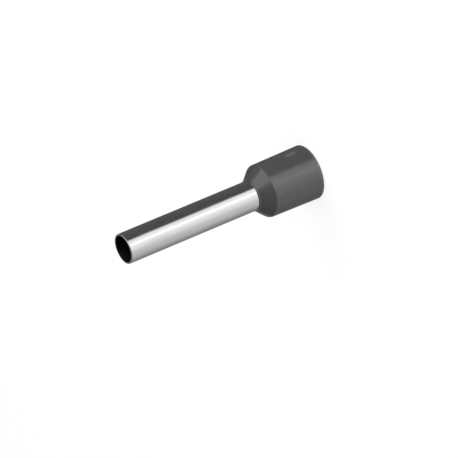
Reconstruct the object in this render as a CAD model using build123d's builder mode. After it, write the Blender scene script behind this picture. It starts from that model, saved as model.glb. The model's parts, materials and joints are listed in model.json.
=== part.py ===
from build123d import *
import os
from math import cos, radians, sin, tan

# Insulated wire ferrule for a 2.5 mm2 stranded wire, in millimetres.
# It stands on the mouth of its collar: the origin is the centre of the mouth, and +Z runs along
# the common axis to the tip of the sleeve. Profiles are drawn in the XZ plane, with X as the
# distance from the axis, and turned about Z.

# Sleeve: a thin drawn tube, cut square at the tip and belled out inside the collar
sleeve_outer_radius = 1.25
sleeve_wall = 0.15
sleeve_reach = 12.0  # bare length, from the collar to the tip
tip_rounding = 0.04  # outer edge of the cut tip
bell_clearance = 0.14  # from the bell's rim to the bore of the collar, square to the axis

# Collar: one moulding, with a mouth for the insulation, a funnel and a neck that grips the sleeve
collar_length = 5.58
mouth_bore_radius = 1.87
rim_wall = 0.41  # wall at the mouth
shoulder_wall = 0.34  # wall of the cone, square to its side
lip_wall = 0.1  # wall at the root of the lip that ends the neck
lip_length = 0.08
shoulder_half_angle = 42.0  # between the axis and the side of the cone
draft_angle = 0.9  # between the axis and the moulded sides: outer side, lip and neck bore

# Rounded edges of the collar, and the bend where the sleeve starts to bell out
rim_outer_rounding = 0.09
rim_inner_rounding = 0.07
shoulder_rounding = 0.33
lip_root_rounding = 0.04
lip_edge_rounding = 0.03
bore_end_rounding = 0.12
neck_bend_radius = 0.3

# Slopes of the cone and of the drafted sides: distance from the axis gained for each length along it
cone_slope = tan(radians(shoulder_half_angle))
draft_slope = tan(radians(draft_angle))

# The lip narrows towards the tip of the sleeve, as the outer side does
mouth_radius = mouth_bore_radius + rim_wall
lip_height = collar_length - lip_length
lip_root_radius = sleeve_outer_radius + lip_wall
lip_edge_radius = lip_root_radius - lip_length * draft_slope
tip_height = collar_length + sleeve_reach

# The outer side ends where its line, drawn up from the rim, crosses the line of the cone
shoulder_height = (lip_root_radius + lip_height * cone_slope - mouth_radius) / (cone_slope - draft_slope)
shoulder_radius = mouth_radius - shoulder_height * draft_slope

# The funnel runs parallel to the cone, one wall below it, and the sleeve bells out along it
funnel_drop = shoulder_wall - lip_wall * cos(radians(shoulder_half_angle))
bend_height = lip_height - funnel_drop / sin(radians(shoulder_half_angle))
bore_end_height = bend_height - (mouth_bore_radius - sleeve_outer_radius) / cone_slope
bell_radius = mouth_bore_radius - bell_clearance
bell_height = bend_height - (bell_radius - sleeve_outer_radius) / cone_slope

# The neck bore grips the sleeve at the lip and widens by its draft until it meets the funnel
neck_height = (bend_height * cone_slope - collar_length * draft_slope) / (cone_slope - draft_slope)
neck_radius = sleeve_outer_radius + (collar_length - neck_height) * draft_slope

# Sleeve: the line of its outer surface, thickened inwards by the wall and turned about the axis
with BuildPart() as sleeve:
    with BuildSketch(Plane.XZ):
        with BuildLine():
            outer_line = FilletPolyline(
                (sleeve_outer_radius, tip_height),
                (sleeve_outer_radius, bend_height),
                (bell_radius, bell_height),
                radius=neck_bend_radius,
            )
            offset(outer_line, amount=sleeve_wall, side=Side.RIGHT, mode=Mode.ADD)
        make_face()
    revolve(axis=Axis.Z)
    tip_edges = sleeve.edges().filter_by(GeomType.CIRCLE).group_by(Axis.Z)[-1]
    fillet(tip_edges.sort_by(SortBy.RADIUS)[-1], radius=tip_rounding)

# Collar: one closed outline turned about the axis. Each corner stands beside its rounding, from
# the rim up the outside, over the lip and back down the inside
collar_outline = [
    ((mouth_radius, 0), rim_outer_rounding),
    ((shoulder_radius, shoulder_height), shoulder_rounding),
    ((lip_root_radius, lip_height), lip_root_rounding),
    ((lip_edge_radius, collar_length), lip_edge_rounding),
    ((sleeve_outer_radius, collar_length), 0),
    ((neck_radius, neck_height), neck_bend_radius),
    ((mouth_bore_radius, bore_end_height), bore_end_rounding),
    ((mouth_bore_radius, 0), rim_inner_rounding),
]

with BuildPart() as collar:
    with BuildSketch(Plane.XZ):
        with BuildLine():
            FilletPolyline(
                *[corner for corner, rounding in collar_outline],
                radius=[rounding for corner, rounding in collar_outline],
                close=True,
            )
        make_face()
    revolve(axis=Axis.Z)

sleeve.part.label = "sleeve"
collar.part.label = "collar"

os.makedirs("parts", exist_ok=True)
export_step(sleeve.part, "parts/sleeve.step")
export_step(collar.part, "parts/collar.step")
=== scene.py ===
"""An insulated wire ferrule on a pale floor, standing on the mouth of its collar.

Everything is in metres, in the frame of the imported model: +Z runs along the common axis, from the
mouth of the collar to the tip of the sleeve.
"""

import json
import logging
from collections.abc import Callable
from dataclasses import dataclass
from enum import Enum
from math import atan2, cos, radians, sin, tan

import bmesh
import bpy
from mathutils import Matrix, Vector


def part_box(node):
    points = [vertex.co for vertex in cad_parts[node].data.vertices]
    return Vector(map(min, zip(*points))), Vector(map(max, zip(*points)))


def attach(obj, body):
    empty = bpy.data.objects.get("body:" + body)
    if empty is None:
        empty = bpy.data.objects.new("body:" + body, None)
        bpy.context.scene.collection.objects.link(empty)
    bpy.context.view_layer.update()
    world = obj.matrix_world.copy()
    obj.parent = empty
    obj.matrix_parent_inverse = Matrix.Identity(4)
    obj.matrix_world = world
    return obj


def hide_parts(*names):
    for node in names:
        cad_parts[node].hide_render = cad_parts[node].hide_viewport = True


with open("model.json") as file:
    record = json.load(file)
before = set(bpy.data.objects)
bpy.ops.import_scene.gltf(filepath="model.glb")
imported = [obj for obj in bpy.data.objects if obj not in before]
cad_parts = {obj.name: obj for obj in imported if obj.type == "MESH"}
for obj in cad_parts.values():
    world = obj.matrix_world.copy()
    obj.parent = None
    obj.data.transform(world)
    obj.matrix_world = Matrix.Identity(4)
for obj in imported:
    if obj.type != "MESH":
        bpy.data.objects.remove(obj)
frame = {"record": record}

MM = 0.001
Colour = tuple[float, float, float, float]
WHITE: Colour = (1, 1, 1, 1)
log = logging.getLogger("ferrule")


class Slot(Enum):
    """The record's material slots."""

    TINNED_METAL = "tinned_metal"
    COLLAR_PLASTIC = "collar_plastic"


def mount_radius(name: str) -> float:
    """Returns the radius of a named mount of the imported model.

    Args:
        name: The mount's name in the record.

    Returns:
        The radius in metres.
    """
    mounts = {mount["name"]: mount for mount in frame["record"]["mounts"]}
    return mounts[name]["dims"]["r_mm"] * MM


def grey(light: float) -> Colour:
    """Gives a neutral colour.

    Args:
        light: Its brightness, from 0 to 1.

    Returns:
        The colour.
    """
    return (light, light, light, 1)


@dataclass(frozen=True)
class Ring:
    """One corner of a turned profile, seen as a ring about the axis.

    Attributes:
        radius: Distance from the axis.
        height: Height above the mouth of the collar.
        rounding: Radius of the rounded corner, or 0 where it is sharp.
        segments: Faces across the rounding.
    """

    radius: float
    height: float
    rounding: float = 0.0
    segments: int = 6


@dataclass
class Turning:
    """A closed shell turned about the axis, modelled ring by ring.

    Attributes:
        name: Name of the piece.
        rings: Corners of the closed profile, in order.
        sides: Faces round the axis.
        crease: Degrees between two faces from which their shared edge looks sharp.
    """

    name: str
    rings: list[Ring]
    sides: int = 256
    crease: float = 40.0

    def make(self) -> bpy.types.Object:
        """Models the shell.

        Returns:
            The finished piece, at the origin, with its faces pointing outwards.
        """
        first = self.rings[0]
        end = self.rings[-1]
        bpy.ops.object.select_all(action="DESELECT")
        bpy.ops.mesh.primitive_circle_add(
            vertices=self.sides, radius=first.radius, location=(0, 0, first.height)
        )
        piece = bpy.context.object
        piece.name = self.name
        piece.data.name = self.name
        bpy.ops.object.transform_apply(location=True, rotation=True, scale=True)
        bpy.ops.object.mode_set(mode="EDIT")
        for last, ring in zip(self.rings, self.rings[1:]):
            self._extrude(last, ring)
        self._select_edges(piece, lambda a, b: self._on(first, a, b) or self._on(end, a, b))
        bpy.ops.mesh.bridge_edge_loops()
        for index, ring in enumerate(self.rings):
            if ring.rounding:
                self._round(piece, index)
        bpy.ops.mesh.select_all(action="SELECT")
        bpy.ops.mesh.normals_make_consistent(inside=False)
        bpy.ops.object.mode_set(mode="OBJECT")
        bpy.ops.object.shade_smooth_by_angle(angle=radians(self.crease))
        return piece

    @staticmethod
    def _extrude(last: Ring, ring: Ring) -> None:
        """Extrudes the selected ring to the next one.

        Args:
            last: The ring that is selected.
            ring: The ring to reach.
        """
        rise = (0, 0, ring.height - last.height)
        bpy.ops.mesh.extrude_edges_move(TRANSFORM_OT_translate={"value": rise})
        if ring.radius != last.radius:
            spread = ring.radius / last.radius
            bpy.ops.transform.resize(value=(spread, spread, 1), center_override=(0, 0, ring.height))

    def _round(self, piece: bpy.types.Object, index: int) -> None:
        """Rounds one corner of the profile.

        Args:
            piece: The piece in edit mode.
            index: Place of the corner among the rings.
        """
        ring = self.rings[index]
        here = Vector((ring.radius, ring.height))
        before = self.rings[index - 1]
        after = self.rings[(index + 1) % len(self.rings)]
        arriving = here - Vector((before.radius, before.height))
        leaving = Vector((after.radius, after.height)) - here
        reach = ring.rounding * tan(arriving.angle(leaving) / 2)
        self._select_edges(piece, lambda a, b: self._on(ring, a, b))
        bpy.ops.mesh.bevel(
            affect="EDGES",
            offset_type="OFFSET",
            offset=reach,
            segments=ring.segments,
            clamp_overlap=False,
        )

    @staticmethod
    def _on(ring: Ring, a: Vector, b: Vector) -> bool:
        """Tells whether an edge lies on a ring.

        Args:
            ring: The ring.
            a: Place of one end of the edge.
            b: Place of the other end.

        Returns:
            Whether both ends lie on the ring.
        """
        near = 1e-6
        return all(
            abs(point.z - ring.height) < near and abs(Vector(point.xy).length - ring.radius) < near
            for point in (a, b)
        )

    @staticmethod
    def _select_edges(piece: bpy.types.Object, wanted: Callable[[Vector, Vector], bool]) -> None:
        """Selects the edges that a test on their two ends picks.

        Args:
            piece: The piece in edit mode.
            wanted: Test on the places of an edge's ends.
        """
        bpy.ops.mesh.select_all(action="DESELECT")
        bpy.ops.mesh.select_mode(type="EDGE")
        mesh = bmesh.from_edit_mesh(piece.data)
        for edge in mesh.edges:
            if wanted(edge.verts[0].co, edge.verts[1].co):
                edge.select = True
        mesh.select_flush_mode()
        bmesh.update_edit_mesh(piece.data)


class Graph:
    """A node tree, with short ways to add nodes and to join them."""

    def __init__(self, tree: bpy.types.NodeTree) -> None:
        """Empties the tree.

        Args:
            tree: The node tree of a material or of the world.
        """
        self.tree = tree
        tree.nodes.clear()

    def add(self, kind: str, inputs: dict | None = None, **settings: object) -> bpy.types.Node:
        """Adds a node.

        Args:
            kind: The node's type.
            inputs: Values or outputs of other nodes, by the name or place of the input.
            **settings: Values of the node's own properties.

        Returns:
            The new node.
        """
        node = self.tree.nodes.new(kind)
        for name, value in settings.items():
            setattr(node, name, value)
        for key, value in (inputs or {}).items():
            if isinstance(value, bpy.types.NodeSocket):
                self.tree.links.new(value, node.inputs[key])
            else:
                node.inputs[key].default_value = value
        return node

    def math(self, operation: str, *values: object) -> bpy.types.NodeSocket:
        """Adds a Math node and returns its output.

        Args:
            operation: The node's operation.
            *values: Numbers or outputs of other nodes.

        Returns:
            The output socket.
        """
        return self.add("ShaderNodeMath", dict(enumerate(values)), operation=operation).outputs[0]

    def blend(self, factor: object, low: object, high: object) -> bpy.types.NodeSocket:
        """Mixes two colours and returns the result.

        Args:
            factor: Share of the second colour.
            low: Colour, or output, at 0.
            high: Colour, or output, at 1.

        Returns:
            The output socket.
        """
        node = self.add("ShaderNodeMix", data_type="RGBA")
        values = {0: factor, 6: low, 7: high}
        for place, value in values.items():
            if isinstance(value, bpy.types.NodeSocket):
                self.tree.links.new(value, node.inputs[place])
            else:
                node.inputs[place].default_value = value
        return node.outputs[2]

    def layer(self, factor: object, low: bpy.types.Node, high: bpy.types.Node) -> bpy.types.Node:
        """Mixes two shaders.

        Args:
            factor: Share of the second shader.
            low: Shader at 0.
            high: Shader at 1.

        Returns:
            The node that mixes them.
        """
        return self.add("ShaderNodeMixShader", {0: factor, 1: low.outputs[0], 2: high.outputs[0]})

    def millimetres(self, stretch: tuple[float, float, float] = (1, 1, 1)) -> bpy.types.NodeSocket:
        """Gives the piece's own coordinates in millimetres.

        Args:
            stretch: Factor along each axis; below 1 draws a pattern out along that axis.

        Returns:
            The vector output.
        """
        place = self.add("ShaderNodeTexCoord").outputs["Object"]
        scale = [factor / MM for factor in stretch]
        return self.add("ShaderNodeMapping", {"Vector": place, "Scale": scale}).outputs[0]

    def noise(
        self, place: bpy.types.NodeSocket, scale: float, detail: float = 2.0
    ) -> bpy.types.NodeSocket:
        """Adds a noise pattern and returns its value.

        Args:
            place: Where the pattern is read.
            scale: Features for each unit of length.
            detail: Octaves of finer noise.

        Returns:
            The value output, which mostly stays between 0.3 and 0.75.
        """
        inputs = {"Vector": place, "Scale": scale, "Detail": detail}
        return self.add("ShaderNodeTexNoise", inputs).outputs[0]

    def spread(
        self,
        value: object,
        from_min: float,
        from_max: float,
        to_min: float = 0.0,
        to_max: float = 1.0,
    ) -> bpy.types.NodeSocket:
        """Maps a value from one range to another, with soft ends.

        Args:
            value: The value or output that is read.
            from_min: Its value that gives to_min.
            from_max: Its value that gives to_max.
            to_min: Result at from_min.
            to_max: Result at from_max.

        Returns:
            The output socket.
        """
        inputs = {0: value, 1: from_min, 2: from_max, 3: to_min, 4: to_max}
        node = self.add("ShaderNodeMapRange", inputs, interpolation_type="SMOOTHSTEP")
        return node.outputs[0]


@dataclass(frozen=True)
class TinPlate:
    """Bright tin on a drawn copper tube: fine lines along the axis and small specks, with painted
    shade in the bore.

    Attributes:
        bore_radius: Radius of the tube's bore.
        colour: The clean plate.
        dull_colour: The plate in its duller patches.
        bore_shade_colour: Painted shade on the wall of the bore and on the inner part of the cut
            tip, darker than the plate.
        bore_shade_fade: Millimetres beyond the bore at which that painted shade and the added
            roughness begin to fade and have gone.
        inside_roughness: Roughness that it adds.
        polish: Roughness between the specks and in them.
        haze: Roughness that the cloudiest streaks add.
        speck_relief: Height of the specks, where 1 is that of the drawn lines.
        relief_depth: Depth of the drawn lines.
        relief_strength: Share of their slopes that is shown.
    """

    bore_radius: float
    colour: Colour = (0.83, 0.83, 0.825, 1)
    dull_colour: Colour = (0.77, 0.77, 0.765, 1)
    bore_shade_colour: Colour = (0.14, 0.14, 0.132, 1)
    bore_shade_fade: tuple[float, float] = (0.085, 0.11)
    inside_roughness: float = 0.3
    polish: tuple[float, float] = (0.09, 0.15)
    haze: float = 0.1
    speck_relief: float = 0.45
    relief_depth: float = 0.0016 * MM
    relief_strength: float = 0.5

    def material(self) -> bpy.types.Material:
        """Makes the finish.

        Returns:
            The material.
        """
        material = bpy.data.materials.new("tin_plate")
        material.use_nodes = True
        graph = Graph(material.node_tree)
        place = graph.millimetres()
        lines = graph.noise(graph.millimetres(stretch=(1, 1, 0.05)), scale=9.0, detail=4.0)
        specks = graph.noise(place, scale=14.0, detail=3.0)
        cloud = graph.noise(graph.millimetres(stretch=(1, 1, 0.3)), scale=1.3)
        streaks = graph.noise(graph.millimetres(stretch=(1, 1, 0.2)), scale=5.0, detail=3.0)

        level = {0: place, 1: (1, 1, 0)}
        around = graph.add("ShaderNodeVectorMath", level, operation="MULTIPLY").outputs[0]
        radius = graph.add("ShaderNodeVectorMath", {0: around}, operation="LENGTH").outputs["Value"]
        bore = self.bore_radius / MM
        # Mask of the bore's wall and the inner part of the cut tip: painted shade in the colour,
        # and added roughness.
        inside = graph.spread(radius, *[bore + beyond for beyond in self.bore_shade_fade], 1.0, 0.0)

        plate = graph.blend(graph.spread(cloud, 0.35, 0.7), self.colour, self.dull_colour)
        # Painted shade: the plate is darkened in the bore and on the inner part of the cut tip.
        colour = graph.blend(inside, plate, self.bore_shade_colour)
        haze = graph.spread(streaks, 0.35, 0.8, 0.0, self.haze)
        polish = graph.math("ADD", graph.spread(specks, 0.3, 0.75, *self.polish), haze)
        roughness = graph.math("ADD", polish, graph.math("MULTIPLY", inside, self.inside_roughness))
        relief = graph.math("ADD", lines, graph.math("MULTIPLY", specks, self.speck_relief))
        bump = graph.add(
            "ShaderNodeBump",
            {"Strength": self.relief_strength, "Distance": self.relief_depth, "Height": relief},
        )
        shader = graph.add(
            "ShaderNodeBsdfPrincipled",
            {
                "Base Color": colour,
                "Metallic": 1.0,
                "Roughness": roughness,
                "Normal": bump.outputs[0],
            },
        )
        graph.add("ShaderNodeOutputMaterial", {"Surface": shader.outputs[0]})
        return material


@dataclass(frozen=True)
class GateMark:
    """The low oval scar on the collar's side, where the moulding was broken off its runner.

    Attributes:
        azimuth: Degrees round the axis, from +X towards +Y.
        radius: Distance of its centre from the axis.
        height: Height of its centre above the mouth.
        half_width: Half its width, round the collar.
        half_length: Half its length, along the axis.
        rise: How far it stands proud.
    """

    azimuth: float
    radius: float
    height: float
    half_width: float = 0.2 * MM
    half_length: float = 0.52 * MM
    rise: float = 0.009 * MM

    def outwards(self) -> Vector:
        """Gives the direction from the axis to the mark.

        Returns:
            The direction, square to the axis and 1 long.
        """
        return Vector((cos(radians(self.azimuth)), sin(radians(self.azimuth)), 0))

    def centre(self) -> Vector:
        """Gives the place of the mark's centre.

        Returns:
            The place on the collar's side.
        """
        return self.outwards() * self.radius + Vector((0, 0, self.height))

    def distance(self, graph: Graph) -> bpy.types.NodeSocket:
        """Adds the distance from the mark's centre, which is 1 at its edge.

        Args:
            graph: The nodes of the collar's finish.

        Returns:
            The distance output.
        """
        place = graph.add("ShaderNodeTexCoord").outputs["Object"]
        inputs = {
            "Vector": place,
            "Location": self.centre(),
            "Rotation": (0, 0, radians(self.azimuth)),
            "Scale": (self.half_width, self.half_width, self.half_length),
        }
        near = graph.add("ShaderNodeMapping", inputs, vector_type="TEXTURE").outputs[0]
        return graph.add("ShaderNodeVectorMath", {0: near}, operation="LENGTH").outputs["Value"]


@dataclass(frozen=True)
class MouldedPlastic:
    """Dark grey moulded plastic with a satin skin, and a painted highlight along the mouth's edge.

    Attributes:
        gate: The mark that the moulding's gate left.
        colour: The body of the plastic.
        pale_colour: Where the skin is a little paler.
        scar_and_glint_colour: Where the gate was torn off; its paler colour also paints the glint
            that the mark catches.
        rim_highlight_colour: Painted highlight along the mouth's edge, where the rounded rim
            catches light.
        rim_highlight_fade: Millimetres above the mouth at which that painted highlight begins to
            fade and has gone.
        rim_highlight_wave: Millimetres by which those heights waver round the mouth.
        satin: Roughness of the skin, from its smoothest to its roughest grain.
        scar_roughness: Roughness that the scar adds.
        scar_fade: Ragged distances from the gate at which the scar begins to fade and has gone.
        grain_depth: Depth of the skin's grain.
        grain_strength: Share of its slopes that is shown.
        refraction: The plastic's index of refraction.
        shine: Strength of its mirroring, where 0.5 follows from the index alone.
    """

    gate: GateMark
    colour: Colour = (0.056, 0.056, 0.057, 1)
    pale_colour: Colour = (0.063, 0.063, 0.064, 1)
    scar_and_glint_colour: Colour = (0.1, 0.1, 0.101, 1)
    rim_highlight_colour: Colour = (0.094, 0.094, 0.095, 1)
    rim_highlight_fade: tuple[float, float] = (0.1, 0.4)
    rim_highlight_wave: float = 0.1
    satin: tuple[float, float] = (0.17, 0.23)
    scar_roughness: float = 0.3
    scar_fade: tuple[float, float] = (0.9, 1.9)
    grain_depth: float = 0.0016 * MM
    grain_strength: float = 0.3
    refraction: float = 1.5
    shine: float = 1.0

    def material(self) -> bpy.types.Material:
        """Makes the finish.

        Returns:
            The material.
        """
        material = bpy.data.materials.new("moulded_plastic")
        material.use_nodes = True
        graph = Graph(material.node_tree)
        place = graph.millimetres()
        cloud = graph.noise(place, scale=1.6, detail=3.0)
        grain = graph.noise(place, scale=26.0, detail=3.0)
        skin = graph.blend(graph.spread(cloud, 0.3, 0.7), self.colour, self.pale_colour)
        # The gate scar is real, raised and rougher; its paler colour also paints the glint that the
        # mark catches.
        ragged = graph.math("ADD", self.gate.distance(graph), graph.noise(place, scale=7.0))
        scar = graph.spread(ragged, *self.scar_fade, 1.0, 0.0)
        # Painted highlight along the mouth's edge (edge below): paler near the rim, wavering round
        # it.
        height = graph.add("ShaderNodeSeparateXYZ", {0: place}).outputs["Z"]
        rim_highlight_height = graph.math("ADD", height, graph.math("MULTIPLY", cloud, self.rim_highlight_wave))
        edge = graph.spread(rim_highlight_height, *self.rim_highlight_fade, 1.0, 0.0)
        colour = graph.blend(scar, graph.blend(edge, skin, self.rim_highlight_colour), self.scar_and_glint_colour)
        satin = graph.spread(grain, 0.3, 0.75, *self.satin)
        roughness = graph.math("ADD", satin, graph.math("MULTIPLY", scar, self.scar_roughness))
        bump = graph.add(
            "ShaderNodeBump",
            {"Strength": self.grain_strength, "Distance": self.grain_depth, "Height": grain},
        )
        shader = graph.add(
            "ShaderNodeBsdfPrincipled",
            {
                "Base Color": colour,
                "Roughness": roughness,
                "IOR": self.refraction,
                "Specular IOR Level": self.shine,
                "Normal": bump.outputs[0],
            },
        )
        graph.add("ShaderNodeOutputMaterial", {"Surface": shader.outputs[0]})
        return material


def dress(
    piece: bpy.types.Object, finish: TinPlate | MouldedPlastic, slot: Slot, node: str
) -> None:
    """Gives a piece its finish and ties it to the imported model.

    Args:
        piece: The finished piece.
        finish: The finish to make and assign.
        slot: The record's slot that the finish belongs to.
        node: The node that the piece stands for.
    """
    piece.data.materials.append(finish.material())
    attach(piece, "root")
    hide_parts(node)
    log.info("%s: %d faces, finish %s", piece.name, len(piece.data.polygons), slot.value)


@dataclass
class Sleeve:
    """The thin drawn tube, cut square at the tip and belled out inside the collar.

    Attributes:
        wall: Thickness of the tube.
        tip_rounding: Outer edge of the cut tip.
        bend_radius: Bend where the tube starts to bell out, on its outer side.
        bell_half_angle: Degrees between the axis and the side of the bell.
    """

    wall: float = 0.15 * MM
    tip_rounding: float = 0.04 * MM
    bend_radius: float = 0.3 * MM
    bell_half_angle: float = 42.0

    def build(self) -> None:
        """Models the sleeve and dresses it."""
        lowest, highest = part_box("sleeve")
        outer = mount_radius("sleeve_outside")
        bore = outer - self.wall
        angle = radians(self.bell_half_angle)
        bell_outer = highest.x
        bell_inner = bell_outer - self.wall * cos(angle)
        bell_outer_height = lowest.z + self.wall * sin(angle)
        bend_height = bell_outer_height + (bell_outer - outer) / tan(angle)
        inner_bend_height = bend_height - self.wall * tan(angle / 2)
        rings = [
            Ring(outer, highest.z, self.tip_rounding),
            Ring(outer, bend_height, self.bend_radius, segments=8),
            Ring(bell_outer, bell_outer_height),
            Ring(bell_inner, lowest.z),
            Ring(bore, inner_bend_height, self.bend_radius + self.wall, segments=8),
            Ring(bore, highest.z),
        ]
        piece = Turning("sleeve_tube", rings).make()
        dress(piece, TinPlate(bore_radius=bore), Slot.TINNED_METAL, "sleeve")


@dataclass
class Collar:
    """The moulded collar: mouth, funnel, neck bore, lip, conical shoulder and drafted side.

    Attributes:
        rim_wall: Wall at the mouth.
        shoulder_wall: Wall of the cone, square to its side.
        lip_wall: Wall at the root of the lip.
        lip_length: Length of the lip round the sleeve.
        cone_half_angle: Degrees between the axis and the side of the cone.
        draft_angle: Degrees between the axis and the moulded sides.
        rim_outer_rounding: Outer edge of the mouth.
        rim_inner_rounding: Inner edge of the mouth.
        shoulder_rounding: Corner between the outer side and the cone.
        lip_root_rounding: Corner where the lip leaves the cone.
        lip_edge_rounding: Outer edge of the lip.
        bore_end_rounding: Corner where the funnel starts.
        neck_bend_radius: Bend from the funnel to the neck.
        gate_azimuth: Degrees round the axis to the gate mark, from +X towards +Y.
        gate_height: Height of the gate mark's centre above the mouth.
        gate_rows: Rows of faces across the gate mark.
    """

    rim_wall: float = 0.41 * MM
    shoulder_wall: float = 0.34 * MM
    lip_wall: float = 0.1 * MM
    lip_length: float = 0.08 * MM
    cone_half_angle: float = 42.0
    draft_angle: float = 0.9
    rim_outer_rounding: float = 0.09 * MM
    rim_inner_rounding: float = 0.07 * MM
    shoulder_rounding: float = 0.33 * MM
    lip_root_rounding: float = 0.04 * MM
    lip_edge_rounding: float = 0.03 * MM
    bore_end_rounding: float = 0.12 * MM
    neck_bend_radius: float = 0.3 * MM
    gate_azimuth: float = -36.0
    gate_height: float = 1.56 * MM
    gate_rows: int = 20

    def build(self) -> None:
        """Models the collar and dresses it."""
        gate = GateMark(self.gate_azimuth, self._side_radius(self.gate_height), self.gate_height)
        piece = Turning("collar_shell", self._profile(gate)).make()
        self._raise_gate(piece, gate)
        dress(piece, MouldedPlastic(gate), Slot.COLLAR_PLASTIC, "collar")

    def _side_radius(self, height: float) -> float:
        """Gives the radius of the drafted outer side.

        Args:
            height: Height above the mouth.

        Returns:
            The radius at that height.
        """
        return mount_radius("wire_entry") + self.rim_wall - height * tan(radians(self.draft_angle))

    @staticmethod
    def _raise_gate(piece: bpy.types.Object, gate: GateMark) -> None:
        """Draws the gate mark's spine outwards, with the skin round it following softly.

        Args:
            piece: The collar's shell.
            gate: The mark to raise.
        """
        centre = gate.centre()
        spine_half_width = gate.half_width / 4
        spine_half_length = gate.half_length / 2
        bpy.ops.object.mode_set(mode="EDIT")
        bpy.ops.mesh.select_all(action="DESELECT")
        bpy.ops.mesh.select_mode(type="VERT")
        mesh = bmesh.from_edit_mesh(piece.data)
        for point in mesh.verts:
            aside = Vector((point.co - centre).xy).length
            above = abs(point.co.z - centre.z)
            point.select = aside < spine_half_width and above < spine_half_length
        mesh.select_flush_mode()
        bmesh.update_edit_mesh(piece.data)
        bpy.ops.transform.translate(
            value=gate.outwards() * gate.rise,
            use_proportional_edit=True,
            proportional_edit_falloff="SMOOTH",
            proportional_size=gate.half_width,
        )
        bpy.ops.object.mode_set(mode="OBJECT")

    def _profile(self, gate: GateMark) -> list[Ring]:
        """Works out the corners of the collar's section.

        Args:
            gate: The mark whose stretch of the side takes closer rings.

        Returns:
            The rings from the rim up the outside, over the lip and back down the inside.
        """
        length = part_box("collar")[1].z
        tube = mount_radius("sleeve_outside")
        bore = mount_radius("wire_entry")
        angle = radians(self.cone_half_angle)
        cone = tan(angle)
        draft = tan(radians(self.draft_angle))
        mouth = self._side_radius(0)
        lip_root_height = length - self.lip_length
        lip_root = tube + self.lip_wall
        shoulder_height = (lip_root + lip_root_height * cone - mouth) / (cone - draft)
        funnel_drop = self.shoulder_wall - self.lip_wall * cos(angle)
        bend_height = lip_root_height - funnel_drop / sin(angle)
        neck_height = (bend_height * cone - length * draft) / (cone - draft)
        bore_end_height = bend_height - (bore - tube) / cone
        shoulder = self._side_radius(shoulder_height)
        lip_edge = lip_root - self.lip_length * draft
        neck = tube + (length - neck_height) * draft

        reach = gate.half_length + gate.half_width
        steps = [2 * row / self.gate_rows - 1 for row in range(self.gate_rows + 1)]
        rows = [gate.height + reach * step for step in steps]
        return [
            Ring(mouth, 0, self.rim_outer_rounding),
            *[Ring(self._side_radius(height), height) for height in rows],
            Ring(shoulder, shoulder_height, self.shoulder_rounding, segments=12),
            Ring(lip_root, lip_root_height, self.lip_root_rounding),
            Ring(lip_edge, length, self.lip_edge_rounding, segments=4),
            Ring(tube, length),
            Ring(neck, neck_height, self.neck_bend_radius, segments=8),
            Ring(bore, bore_end_height, self.bore_end_rounding),
            Ring(bore, 0, self.rim_inner_rounding),
        ]


@dataclass
class PhotoCamera:
    """The photograph's camera, rolled so that the standing ferrule lies across the picture.

    Attributes:
        frame_px: Side of the square picture.
        focal_px: Focal length.
        tip_px: Centre of the sleeve's tip in the picture.
        tip_depth: Depth of the tip along the line of sight.
        elevation: Degrees by which the camera looks down on the standing ferrule.
        slant: Degrees between the ferrule's axis and the picture's horizontal.
        sensor_width: Width of the sensor, in millimetres.
        clip_start: Distance from which the camera shows things.
    """

    frame_px: int = 458
    focal_px: float = 3490.0
    tip_px: tuple[float, float] = (123.32, 249.14)
    tip_depth: float = 270.5 * MM
    elevation: float = 26.5
    slant: float = 22.92
    sensor_width: float = 36.0
    clip_start: float = 5 * MM

    def build(self) -> None:
        """Adds the camera and makes it the scene's camera."""
        lift = radians(self.elevation)
        slant = radians(self.slant)
        roll = atan2(-cos(slant), -sin(slant))
        forward = Vector((0, cos(lift), -sin(lift)))
        level_up = Vector((0, sin(lift), cos(lift)))
        level_right = Vector((1, 0, 0))
        right = level_right * cos(roll) + level_up * sin(roll)
        up = level_up * cos(roll) - level_right * sin(roll)

        centre = self.frame_px / 2
        across = (self.tip_px[0] - centre) * self.tip_depth / self.focal_px
        above = (centre - self.tip_px[1]) * self.tip_depth / self.focal_px
        tip = Vector((0, 0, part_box("sleeve")[1].z))
        place = tip - right * across - up * above - forward * self.tip_depth

        data = bpy.data.cameras.new("photo_camera")
        data.sensor_width = self.sensor_width
        data.lens = self.focal_px / self.frame_px * self.sensor_width
        data.clip_start = self.clip_start
        camera = bpy.data.objects.new("photo_camera", data)
        turned = Matrix((right, up, -forward)).transposed().to_4x4()
        camera.matrix_world = Matrix.Translation(place) @ turned
        bpy.context.scene.collection.objects.link(camera)
        bpy.context.scene.camera = camera


@dataclass(frozen=True)
class Card:
    """An edge of a card or softbox round the object, as shiny surfaces see it.

    Attributes:
        azimuth: Degrees round the axis, from +X towards +Y.
        light: Brightness there, where 1 is white.
    """

    azimuth: float
    light: float


class CardRing(Enum):
    """The two rings of cards: one seen in upright walls, one seen in faces that look upwards."""

    LOWER = (
        Card(-180, 0.50),
        Card(-143, 0.62),
        Card(-120, 0.85),
        Card(-98, 1.02),
        Card(-84, 1.42),
        Card(-73, 1.02),
        Card(-57.5, 0.98),
        Card(-44.5, 0.07),
        Card(36, 0.1),
        Card(74, 0.08),
        Card(81, 0.5),
        Card(90, 0.5),
        Card(97, 0.1),
        Card(107, 0.26),
        Card(118, 0.26),
        Card(128, 0.2),
        Card(140, 0.26),
        Card(166, 0.37),
        Card(180, 0.50),
    )
    UPPER = (
        Card(-180, 0.03),
        Card(-78, 0.04),
        Card(-54, 0.92),
        Card(-2, 0.90),
        Card(12, 0.06),
        Card(66, 0.03),
        Card(80, 0.64),
        Card(100, 0.64),
        Card(114, 0.03),
        Card(180, 0.03),
    )


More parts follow.
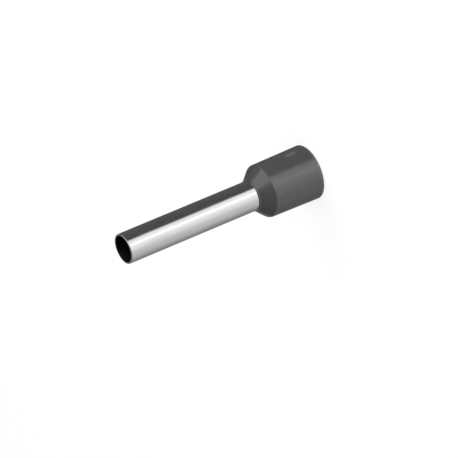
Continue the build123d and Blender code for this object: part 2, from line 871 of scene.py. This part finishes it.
@dataclass(frozen=True)
class Lamp:
    """A soft square lamp that faces the object and isn't mirrored in it.

    Attributes:
        name: The lamp's name.
        direction: Where it stands, seen from the object.
        level: Light that it gives at the object, where 1 lights a white card fully.
        distance: How far away it stands.
        size: Side of the lamp.
        full_power: Watts that light a white card fully from 1 m away.
    """

    name: str
    direction: tuple[float, float, float]
    level: float
    distance: float = 0.4
    size: float = 0.3
    full_power: float = 10.0

    def build(self) -> None:
        """Adds the lamp."""
        data = bpy.data.lights.new(self.name, "AREA")
        data.size = self.size
        data.energy = self.level * self.full_power * self.distance**2
        lamp = bpy.data.objects.new(self.name, data)
        towards = Vector(self.direction).normalized()
        lamp.location = towards * self.distance
        lamp.rotation_mode = "QUATERNION"
        lamp.rotation_quaternion = towards.to_track_quat("Z", "Y")
        lamp.visible_glossy = False
        bpy.context.scene.collection.objects.link(lamp)


@dataclass
class Studio:
    """The pale floor, the lamps and the surroundings.

    Heights of directions run from -1, straight down, to 1, straight up.

    Attributes:
        floor_size: Side of the square floor.
        floor_light: Light that reaches the open floor, where 1 lights a white card fully.
        paper: Brightness of the floor as it lights the object.
        shadow_share: Part of the floor's white that a full shadow takes away.
        ambient: Even light from all sides.
        upper_fade: Heights at which the upper ring of cards begins to show and has taken over.
        steep_light: Light that shiny surfaces see steeply below, in the place of the floor.
        steep_fade: Heights at which that light begins to fade and has gone.
        lamps: The lamps.
    """

    floor_size: float = 4.0
    floor_light: float = 0.92
    paper: float = 0.8
    shadow_share: float = 0.22
    ambient: float = 0.42
    upper_fade: tuple[float, float] = (-0.15, 0.25)
    steep_light: float = 0.72
    steep_fade: tuple[float, float] = (-0.85, -0.6)
    lamps: tuple[Lamp, ...] = (
        Lamp("side_lamp", direction=(0.93, -0.2, 0.3), level=0.55),
        Lamp("front_lamp", direction=(0.1, -0.97, 0.22), level=0.6),
        Lamp("top_lamp", direction=(0, -0.1, 1), level=0.38),
    )

    def build(self) -> None:
        """Builds the floor, the lamps and the world."""
        bpy.context.scene.view_settings.view_transform = "Standard"
        self._floor()
        self._world()
        for lamp in self.lamps:
            lamp.build()

    def _floor(self) -> None:
        """Lays the floor, white to the camera apart from the object's soft shadow."""
        bpy.ops.object.select_all(action="DESELECT")
        bpy.ops.mesh.primitive_plane_add(size=self.floor_size)
        floor = bpy.context.object
        floor.name = "floor"
        floor.visible_glossy = False
        material = bpy.data.materials.new("pale_floor")
        material.use_nodes = True
        graph = Graph(material.node_tree)
        path = graph.add("ShaderNodeLightPath").outputs
        seen = graph.math("MAXIMUM", path["Is Camera Ray"], path["Is Transmission Ray"])
        glow = graph.add("ShaderNodeEmission", {"Color": WHITE, "Strength": 1 - self.shadow_share})
        shade = grey(self.shadow_share / self.floor_light)
        catcher = graph.add("ShaderNodeBsdfDiffuse", {"Color": shade})
        white = graph.add("ShaderNodeAddShader", {0: glow.outputs[0], 1: catcher.outputs[0]})
        paper = graph.add("ShaderNodeBsdfDiffuse", {"Color": grey(self.paper)})
        whole = graph.layer(seen, paper, white)
        graph.add("ShaderNodeOutputMaterial", {"Surface": whole.outputs[0]})
        floor.data.materials.append(material)

    def _world(self) -> None:
        """Surrounds the object with even light, and with cards that only shiny surfaces see."""
        world = bpy.data.worlds.new("studio")
        world.use_nodes = True
        world.cycles.sampling_method = "NONE"
        bpy.context.scene.world = world
        graph = Graph(world.node_tree)
        path = graph.add("ShaderNodeLightPath").outputs
        direction = graph.add("ShaderNodeTexCoord").outputs["Generated"]
        compass = graph.add("ShaderNodeTexGradient", {"Vector": direction}, gradient_type="RADIAL")
        turn = compass.outputs[1]
        height = graph.add("ShaderNodeSeparateXYZ", {0: direction}).outputs["Z"]
        raised = graph.spread(height, *self.upper_fade)
        steep = graph.spread(height, *self.steep_fade, 1.0, 0.0)
        lower = self._hang(graph, turn, CardRing.LOWER)
        upper = self._hang(graph, turn, CardRing.UPPER)
        walls = self._between(graph, steep, lower, self.steep_light)
        mirrored = self._between(graph, raised, walls, upper)
        cards = graph.add("ShaderNodeBackground", {"Color": WHITE, "Strength": mirrored})
        even = graph.add("ShaderNodeBackground", {"Color": WHITE, "Strength": self.ambient})
        white = graph.add("ShaderNodeBackground", {"Color": WHITE, "Strength": 1.0})
        shown = graph.math("MAXIMUM", path["Is Camera Ray"], path["Is Transmission Ray"])
        whole = graph.layer(path["Is Glossy Ray"], graph.layer(shown, even, white), cards)
        graph.add("ShaderNodeOutputWorld", {"Surface": whole.outputs[0]})

    @staticmethod
    def _between(graph: Graph, share: object, low: object, high: object) -> bpy.types.NodeSocket:
        """Goes from one brightness to another.

        Args:
            graph: The world's nodes.
            share: Share of the second brightness.
            low: Brightness, or output, at 0.
            high: Brightness, or output, at 1.

        Returns:
            The brightness output.
        """
        step = graph.math("MULTIPLY", share, graph.math("SUBTRACT", high, low))
        return graph.math("ADD", low, step)

    @staticmethod
    def _hang(graph: Graph, turn: bpy.types.NodeSocket, ring: CardRing) -> bpy.types.NodeSocket:
        """Hangs a ring of cards round the object.

        A colour in the ramp stops at 1, so the lights are halved in it and doubled behind it.

        Args:
            graph: The world's nodes.
            turn: The azimuth, from 0 at -180 degrees to 1 at 180.
            ring: The cards to hang.

        Returns:
            The brightness output.
        """
        node = graph.add("ShaderNodeValToRGB", {0: turn})
        ramp = node.color_ramp
        ramp.elements.remove(ramp.elements[-1])
        for index, card in enumerate(ring.value):
            place = card.azimuth / 360 + 0.5
            element = ramp.elements[0] if index == 0 else ramp.elements.new(place)
            element.position = place
            element.color = grey(card.light / 2)
        shade = graph.add("ShaderNodeSeparateColor", {0: node.outputs[0]}).outputs[0]
        return graph.math("MULTIPLY", shade, 2.0)


def main() -> None:
    """Builds the camera, the studio and the pieces."""
    logging.basicConfig(level=logging.INFO, format="%(name)s: %(message)s")
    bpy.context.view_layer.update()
    PhotoCamera().build()
    Studio().build()
    Sleeve().build()
    Collar().build()


if __name__ == "__main__":
    main()
